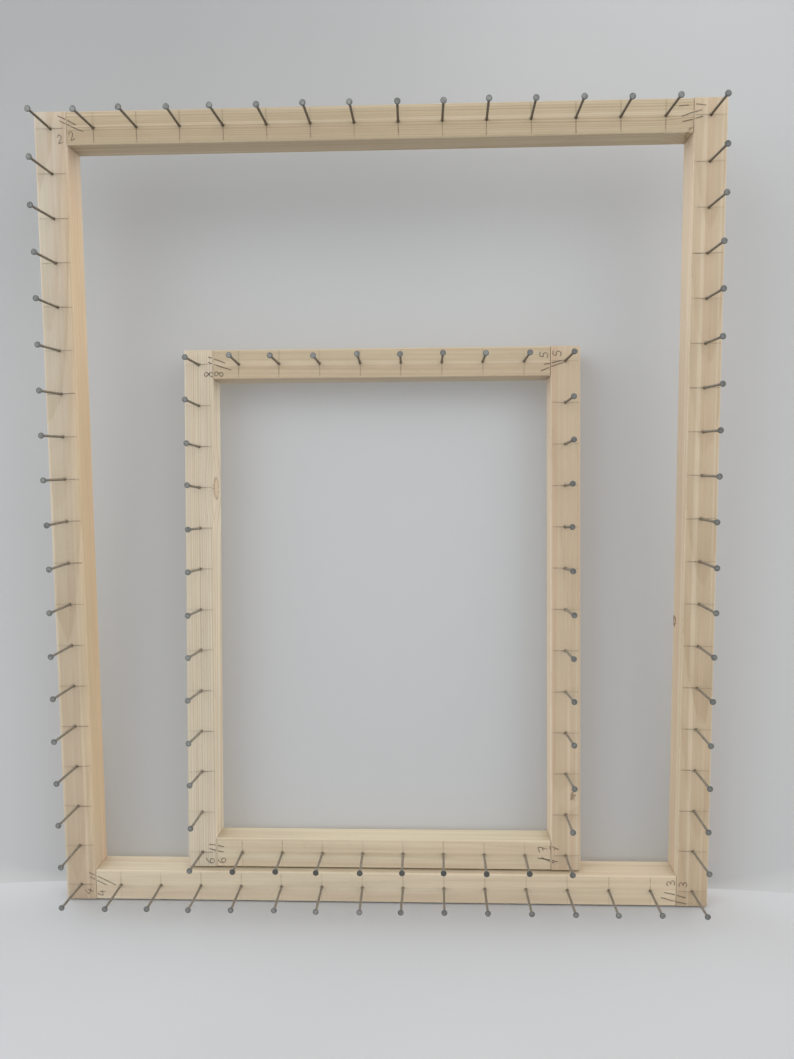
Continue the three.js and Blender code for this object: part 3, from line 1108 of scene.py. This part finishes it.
def beech_material(settings):
    """Beech for the hidden tenons: fine ray flecks over an even, warm ground."""
    material, tree, shader = new_material("tenon_beech")
    place = object_place(tree)
    wood = placed(growth_rings, {
        "Place": place, "Pith": (0.0, 0.06, 0.05), "Ring Width": 0.0032, "Waver": 0.001, "Seed": 12.0})
    flecks = ramp(cloud(scaled(place, (420, 2400, 1500)), detail=1), 0.6, 0.72)
    fill(shader, {
        "Base Color": layered(
            settings.beech, (wood["Rings"] * 0.3, settings.rays), (flecks * 0.5, settings.rays)),
        "Roughness": wood["Fibre"] * 0.2 + 0.5, "Normal": bumped(wood["Height"], 0.3, 0.0001)})
    return material


class LOOM_OT_tenons(bpy.types.Operator):
    """Gives the eight hidden tenons their beech"""
    bl_idname = "loom.tenons"
    bl_label = "Tenons"

    def execute(self, context):
        beech = beech_material(context.scene.loom_tenons)
        found = [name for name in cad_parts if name.endswith("_tenon")]
        if len(found) != 8:
            raise RuntimeError(f"expected 8 tenons, found {len(found)}")
        for name in found:
            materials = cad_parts[name].data.materials
            materials.clear()
            materials.append(beech)
        return {"FINISHED"}


# Stage

CAMERA_PLACE = (0.05742, -1.01376, 0.54874)
CAMERA_AXES = ((0.99931, 0.03635, -0.00695), (0.00371, 0.08851, 0.99607), (0.03682, -0.99541, 0.08832))
LENS = 28.78
SENSOR = 36.0
FLOOR_AT = -0.0016
FLOOR_REACH = 6
CLOTH_RISE = 0.0002
SWEEP_START = 0.0215
SWEEP_RADIUS = 0.009
SWEEP_SIDE_RADIUS = 0.06
SWEEP_STEPS = 16
BACKDROP_TOP = 4.0
BACKDROP_COLUMNS = (-4.0, -1.2, *(0.04 * step - 0.8 for step in range(41)), 1.2, 4.0)
SWEEP_WIDENS = (0.40, 0.64)
LAMPS = {"left": ((-2.6, -2.8, 3.3), 60), "right": ((2.8, -2.7, 3.3), 64)}
LAMP_TARGET = (0, 0, 0.45)
LAMP_SIZE = 2.4
LAMP_COLOUR = (1.0, 0.99, 0.97)


def cloth_material(name, pale, scale, lift):
    """Matt cloth with soft, slightly lighter patches. Gives its place and colour too."""
    material, tree, shader = new_material(name)
    place = object_place(tree)
    soft = ramp(cloud(scaled(place, scale), detail=1), 0.3, 0.7)
    colour = layered(pale, (soft, [value * lift for value in pale]))
    fill(shader, {"Base Color": colour, "Roughness": 0.9, "Specular IOR Level": 0.1})
    return material, shader, place, colour


def seen_rays(tree):
    """Which rays are the camera's, and which are those or reflections."""
    rays = put(tree, "ShaderNodeLightPath", out=None)
    return rays["Is Camera Ray"], maths("MAXIMUM", rays["Is Camera Ray"], rays["Is Glossy Ray"])


def backdrop_material(settings):
    """Pale cloth that only the camera and reflections see, and that can be looked through from behind, with
    painted shade darkening it toward its upper left.
    """
    material, shader, place, colour = cloth_material(
        "backdrop_cloth", settings.backdrop, (2.2, 1.0, 0.9), 1.05)
    tree = place.tree
    x, _, z = parts(place)
    # painted shade: the cloth darker toward its upper left
    painted_shade = ramp(z, 0.55, 1.2) * ramp(x, -0.3, 0.45, 0.26, 0.0)
    fill(shader, {"Base Color": layered(colour, (painted_shade, tone(12, 12, 13)))})
    surface = put(tree, "ShaderNodeNewGeometry", out=None)
    flat = maths("GREATER_THAN", parts(surface["Normal"])[2], 0.9)
    seen = seen_rays(tree)[1] * (1.0 - maths("MAXIMUM", surface["Backfacing"], flat))
    clear = put(tree, "ShaderNodeBsdfTransparent")
    mixed = put(tree, "ShaderNodeMixShader", {0: seen, 1: clear, 2: Wire(shader.outputs[0])})
    fill(tree.nodes["Material Output"], {0: mixed})
    return material


def sweep_line(radius):
    """The cloth's (depth, height) points: a quarter turn up from the floor, then the leaning rise."""
    turn = math.pi / 2 - LEAN
    foot = SWEEP_START + SWEEP_RADIUS - radius
    line = []
    for step in range(SWEEP_STEPS + 1):
        angle = turn * step / SWEEP_STEPS
        line.append((foot + radius * math.sin(angle), FLOOR_AT + CLOTH_RISE + radius * (1 - math.cos(angle))))
    line.append((line[-1][0] + (BACKDROP_TOP - line[-1][1]) * math.tan(LEAN), BACKDROP_TOP))
    return line


def backdrop_mesh():
    """Cloth that turns up from the floor behind the large frame, in a wider sweep beside it."""
    shape = bmesh.new()
    loops = []
    start, end = SWEEP_WIDENS
    for x in BACKDROP_COLUMNS:
        share = min(1.0, max(0.0, (abs(x) - start) / (end - start)))
        radius = SWEEP_RADIUS + (SWEEP_SIDE_RADIUS - SWEEP_RADIUS) * share * share * (3 - 2 * share)
        loops.append([shape.verts.new((x, y, z)) for y, z in sweep_line(radius)])
    # from right to left, so that the faces look toward the camera
    loft(shape, loops[::-1], sheet=True)
    return mesh_of(shape, "backdrop", smooth=True, closed=False)


def floor_mesh():
    corners = [(x * FLOOR_REACH, y * FLOOR_REACH, FLOOR_AT) for x, y in ((-1, -1), (1, -1), (1, 1), (-1, 1))]
    mesh = bpy.data.meshes.new("floor")
    mesh.from_pydata(corners, [], [(0, 1, 2, 3)])
    return mesh


def add_lamp(name, place, power):
    lamp = bpy.data.lights.new(name, "AREA")
    lamp.shape = "RECTANGLE"
    lamp.size = lamp.size_y = LAMP_SIZE
    lamp.energy = power
    lamp.color = LAMP_COLOUR
    holder = new_object(name, lamp)
    holder.visible_camera = False
    holder.location = place
    holder.rotation_euler = (Vector(LAMP_TARGET) - Vector(place)).to_track_quat("-Z", "Y").to_euler()


def light_room(tree, settings):
    """Even light, and in its place the pale surroundings that the camera and reflections see."""
    by_camera, seen = seen_rays(tree)
    wide, deep, high = parts(put(tree, "ShaderNodeTexCoord", out="Generated"))
    strength = ramp(deep, -0.3, 0.3, settings.front_light, settings.back_light)
    strength = strength * ramp(high, 0.2, 1.0, 1.0, settings.zenith)
    beside = ramp(maths("ABSOLUTE", wide), 0.3, 0.95, 1.0, settings.sides)
    strength = strength * (beside * ramp(wide, -0.9, 0.0, settings.window, 1.0))
    tint = layered(settings.left_light, (ramp(wide, -0.8, 0.8), settings.right_light))
    light = put(tree, "ShaderNodeBackground", {"Color": tint, "Strength": strength})
    # metal sees a dimmer room in front of the loom, lighter toward its ceiling
    room = ramp(high, -0.02, 0.5, settings.room, settings.ceiling)
    room = maths("MAXIMUM", room, ramp(deep, -0.7, 0.0))
    room = room * (1.0 - by_camera) + by_camera
    shown = put(tree, "ShaderNodeBackground", {"Color": (*settings.sky, 1), "Strength": room})
    mixed = put(tree, "ShaderNodeMixShader", {0: seen, 1: light, 2: shown})
    put(tree, "ShaderNodeOutputWorld", {0: mixed}, None)


def add_camera():
    camera = bpy.data.cameras.new("camera")
    camera.sensor_fit = "AUTO"
    camera.sensor_width = SENSOR
    camera.lens = LENS
    camera.clip_start = 0.01
    camera.clip_end = 50
    holder = new_object("camera", camera)
    holder.matrix_world = Matrix.Translation(CAMERA_PLACE) @ Matrix(CAMERA_AXES).transposed().to_4x4()
    return holder


class LOOM_OT_stage(bpy.types.Operator):
    """Sets the floor, backdrop, lamps and camera"""
    bl_idname = "loom.stage"
    bl_label = "Stage"

    def execute(self, context):
        settings = context.scene.loom_stage
        floor = new_object("floor", floor_mesh())
        floor.data.materials.append(cloth_material("floor_cloth", settings.floor, (2.0, 3.0, 1.0), 1.04)[0])
        backdrop = new_object("backdrop", backdrop_mesh())
        backdrop.data.materials.append(backdrop_material(settings))
        for side, (place, power) in LAMPS.items():
            add_lamp("lamp_" + side, place, power * settings.lamps)
        world = bpy.data.worlds.new("surroundings")
        world.use_nodes = True
        world.node_tree.nodes.clear()
        light_room(world.node_tree, settings)
        context.scene.world = world
        context.scene.camera = add_camera()
        context.scene.view_settings.view_transform = "Standard"
        return {"FINISHED"}


OPERATORS = (LOOM_OT_bars, LOOM_OT_nails, LOOM_OT_pencil_marks, LOOM_OT_tenons, LOOM_OT_stage)


class LOOM_PT_panel(bpy.types.Panel):
    """Lists the loom's pieces and their sizes and colours"""
    bl_idname = "LOOM_PT_panel"
    bl_label = "Pom pom blanket loom"
    bl_space_type = "VIEW_3D"
    bl_region_type = "UI"
    bl_category = "Loom"

    def draw(self, context):
        for title, group in GROUPS.items():
            box = self.layout.box()
            settings = getattr(context.scene, title)
            for name in group.__annotations__:
                box.prop(settings, name)
        for operator in OPERATORS:
            self.layout.operator(operator.bl_idname)


CLASSES = (*GROUPS.values(), *OPERATORS, LOOM_PT_panel)


def register():
    for item in CLASSES:
        bpy.utils.register_class(item)
    for title, group in GROUPS.items():
        setattr(bpy.types.Scene, title, PointerProperty(type=group))


def unregister():
    for title in GROUPS:
        delattr(bpy.types.Scene, title)
    for item in reversed(CLASSES):
        bpy.utils.unregister_class(item)


def main():
    register()
    bpy.ops.loom.bars()
    bpy.ops.loom.nails()
    bpy.ops.loom.pencil_marks()
    bpy.ops.loom.tenons()
    bpy.ops.loom.stage()


if __name__ == "__main__":
    main()
